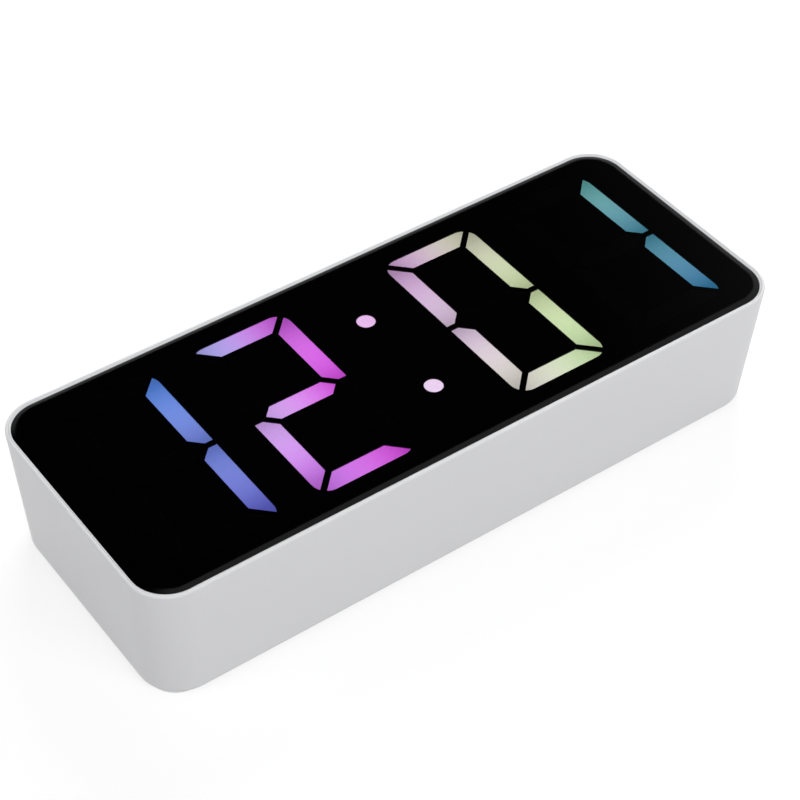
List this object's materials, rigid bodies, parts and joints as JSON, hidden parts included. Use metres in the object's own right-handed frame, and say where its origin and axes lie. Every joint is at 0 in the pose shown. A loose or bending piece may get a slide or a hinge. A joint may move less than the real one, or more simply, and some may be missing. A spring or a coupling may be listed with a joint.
{
  "type": "digital desk clock",
  "caption": "Low rectangular desk clock: black window over glowing segment digits, tapered white case, snooze bar on top, push buttons, power inlet and battery door on the back.",
  "frame": {"origin": "middle of the back face, on which the clock lies", "axes": "+Z out of the display, +X to the display's right, +Y towards the top of its digits"},
  "size_m": [0.15, 0.0594, 0.0298],
  "materials": {
    "case_white": "fine satin grain",
    "frame_white": "smooth satin",
    "key_white": "satin",
    "window_smoke": "polished smoke tint",
    "film_black": "matt printed film",
    "tape_black": "matt foam",
    "reflector_white": "bright matt",
    "segment_blue": "glowing diffuser",
    "segment_magenta": "glowing diffuser",
    "segment_pink": "glowing diffuser",
    "segment_lime": "glowing diffuser",
    "segment_teal": "glowing diffuser",
    "segment_dark": "unlit diffuser",
    "board_green": "solder mask",
    "lamp_white": "moulded lamp",
    "chip_black": "moulded resin",
    "socket_black": "moulded",
    "metal_nickel": "nickel plated",
    "screw_steel": "zinc plated",
    "spring_steel": "drawn wire",
    "pin_brass": "gold flashed",
    "can_aluminium": "drawn can",
    "cell_sleeve": "printed sleeve, unmarked",
    "lead_black": "insulated wire"
  },
  "bodies": {
    "case": {"housing": "case_white", "front_frame": "frame_white", "front_lens": "window_smoke", "segment_mask": "film_black", "lens_tape": "tape_black", "segment_reflector": "reflector_white", "hour_tens_lit_segments": "segment_blue", "hour_units_lit_segments": "segment_magenta", "colon_dots": "segment_pink", "minute_tens_lit_segments": "segment_lime", "minute_units_lit_segments": "segment_teal", "hour_tens_dark_segments": "segment_dark", "hour_units_dark_segments": "segment_dark", "minute_tens_dark_segments": "segment_dark", "minute_units_dark_segments": "segment_dark", "display_board": "board_green", "segment_leds": "lamp_white", "driver_chips": "chip_black", "main_board": "board_green", "clock_chip": "chip_black", "timing_crystal": "metal_nickel", "supply_capacitor": "can_aluminium", "buzzer": "socket_black", "usb_socket": "metal_nickel", "usb_tongue": "socket_black", "connector_socket": "socket_black", "connector_header": "socket_black", "connector_pins": "pin_brass", "back_button_switches": "socket_black", "snooze_switch": "socket_black", "battery_cells": "cell_sleeve", "battery_contacts": "metal_nickel", "battery_springs": "spring_steel", "battery_lead": "lead_black", "housing_screws": "screw_steel", "display_board_screws": "screw_steel", "main_board_screws": "screw_steel"},
    "set_button": {"set_button": "key_white", "set_plunger": "socket_black"},
    "alarm_button": {"alarm_button": "key_white", "alarm_plunger": "socket_black"},
    "up_button": {"up_button": "key_white", "up_plunger": "socket_black"},
    "down_button": {"down_button": "key_white", "down_plunger": "socket_black"},
    "snooze_key": {"snooze_key": "key_white", "snooze_plunger": "socket_black"},
    "battery_door": {"battery_door": "case_white"}
  },
  "joints": [
    {"name": "set_button_press", "type": "slide", "parent": "case", "child": "set_button", "axis": [0, 0, 1], "range_m": [0, 0.0004], "stiffness_N_per_m": 1000},
    {"name": "alarm_button_press", "type": "slide", "parent": "case", "child": "alarm_button", "axis": [0, 0, 1], "range_m": [0, 0.0004], "stiffness_N_per_m": 1000},
    {"name": "up_button_press", "type": "slide", "parent": "case", "child": "up_button", "axis": [0, 0, 1], "range_m": [0, 0.0004], "stiffness_N_per_m": 1000},
    {"name": "down_button_press", "type": "slide", "parent": "case", "child": "down_button", "axis": [0, 0, 1], "range_m": [0, 0.0004], "stiffness_N_per_m": 1000},
    {"name": "snooze_key_press", "type": "slide", "parent": "case", "child": "snooze_key", "axis": [0, -1, 0], "range_m": [0, 0.0005], "stiffness_N_per_m": 1000},
    {"name": "battery_door_tilt", "type": "hinge", "parent": "case", "child": "battery_door", "pos_m": [-0.06385, 0, 0.00015], "axis": [0, 1, 0], "range_deg": [0, 75]}
  ]
}
